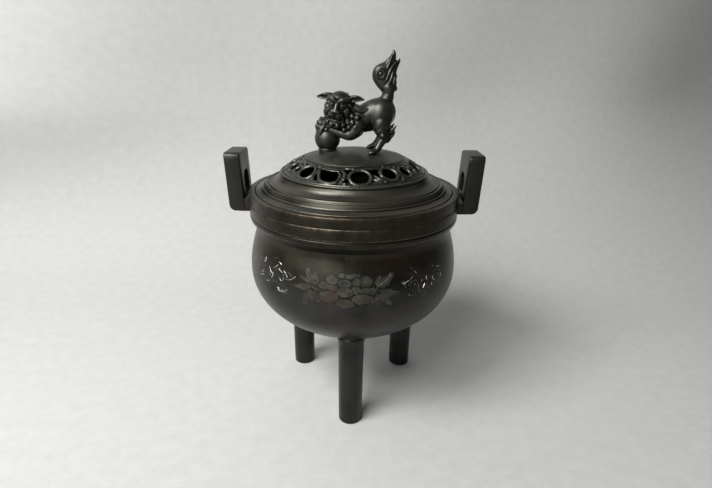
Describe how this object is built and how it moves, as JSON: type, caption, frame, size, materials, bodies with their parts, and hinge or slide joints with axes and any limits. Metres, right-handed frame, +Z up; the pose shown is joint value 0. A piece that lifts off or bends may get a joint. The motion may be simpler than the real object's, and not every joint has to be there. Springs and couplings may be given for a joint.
{
  "type": "lidded incense burner",
  "caption": "Bulbous bronze incense burner on tapering legs, with upright slab handles, a pierced domed lid and a guardian lion finial.",
  "frame": {"origin": "on the floor, at the centre of the circle through the feet, on the axis of the bowl", "axes": "+Z up along the bowl's axis, +X towards the right handle, +Y away from the front leg"},
  "size_m": [0.1414, 0.1202, 0.2041],
  "materials": {
    "dark_bronze": "dark brown-black patina, satin",
    "lid_bronze": "dark olive patina, rubbed on the ridges",
    "rivet_bronze": "dull cast bronze"
  },
  "bodies": {
    "vessel": {"bowl": "dark_bronze", "leg_front": "dark_bronze", "leg_rear_left": "dark_bronze", "leg_rear_right": "dark_bronze", "leg_rivets": "rivet_bronze", "handle_left": "dark_bronze", "handle_right": "dark_bronze", "handle_rivets": "rivet_bronze"},
    "lid": {"lid_shell": "lid_bronze", "lid_openwork": "lid_bronze", "lid_crown": "lid_bronze", "lion_body": "dark_bronze", "lion_tail": "dark_bronze", "lion_ball": "dark_bronze", "finial_rivets": "rivet_bronze"}
  },
  "joints": [
    {"name": "lid_lift", "type": "slide", "parent": "vessel", "child": "lid", "axis": [0, 0, 1], "range_m": [0, 0.08]}
  ]
}
